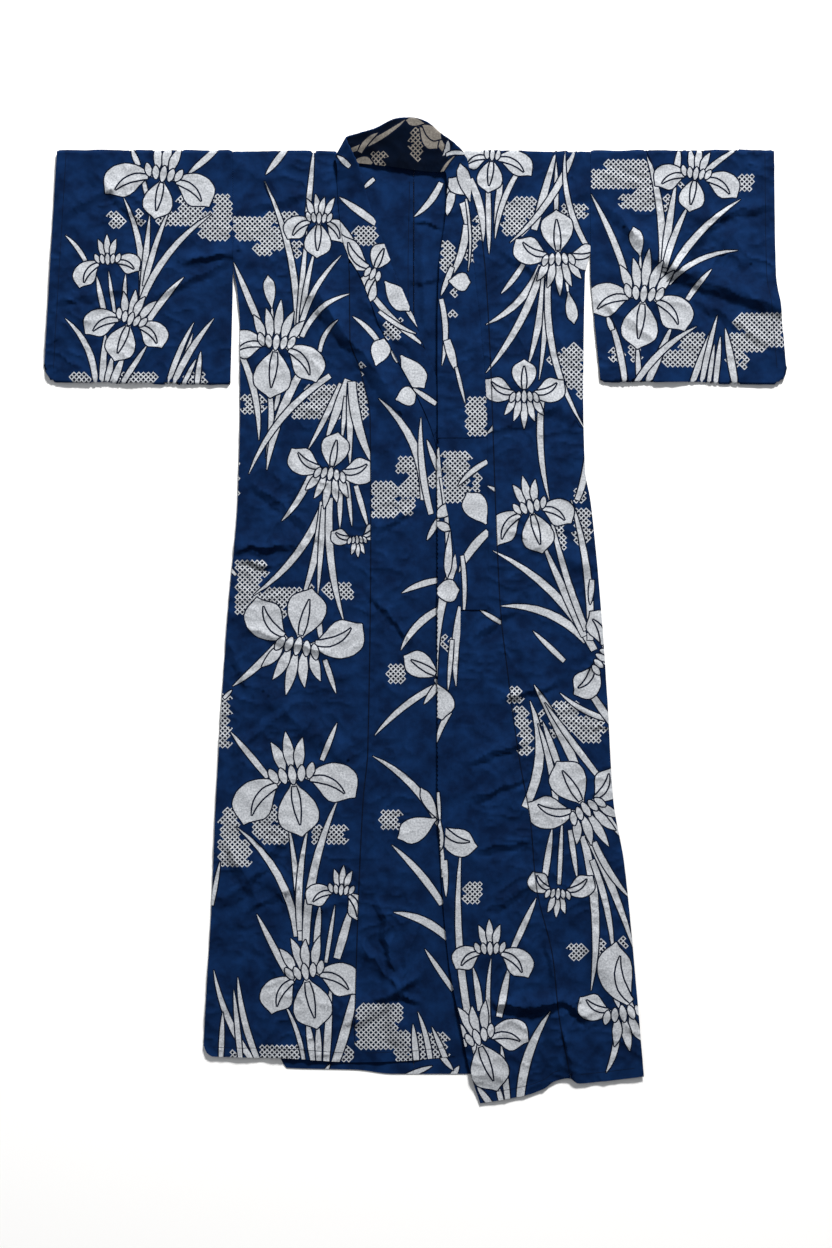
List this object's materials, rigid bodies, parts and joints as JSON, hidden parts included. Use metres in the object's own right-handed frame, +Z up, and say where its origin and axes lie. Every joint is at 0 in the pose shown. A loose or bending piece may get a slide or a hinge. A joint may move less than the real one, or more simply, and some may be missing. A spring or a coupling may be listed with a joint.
{
  "type": "cotton yukata robe, laid flat",
  "caption": "Cotton yukata robe in indigo with white irises, laid flat with the front open and the left front turned back along its edge.",
  "frame": {"origin": "on the table, under the middle of the garment's bounding box", "axes": "+Y from the hem towards the collar, +X to the viewer's right which is the wearer's left, +Z up from the table"},
  "size_m": [1.2602, 1.6712, 0.0357],
  "materials": {
    "cotton_body": "matte plain-weave cotton, indigo with white printed irises",
    "cotton_overlap": "matte plain-weave cotton, indigo with white printed irises",
    "cotton_sleeve": "matte plain-weave cotton, indigo with white printed irises",
    "cotton_collar": "matte plain-weave cotton, indigo with white printed irises"
  },
  "bodies": {
    "root": {"body_panel_right": "cotton_body", "body_panel_left": "cotton_body", "overlap_panel_right": "cotton_overlap", "overlap_panel_left": "cotton_overlap", "sleeve_right": "cotton_sleeve", "sleeve_left": "cotton_sleeve", "collar_band": "cotton_collar", "collar_cover": "cotton_collar"}
  },
  "joints": []
}
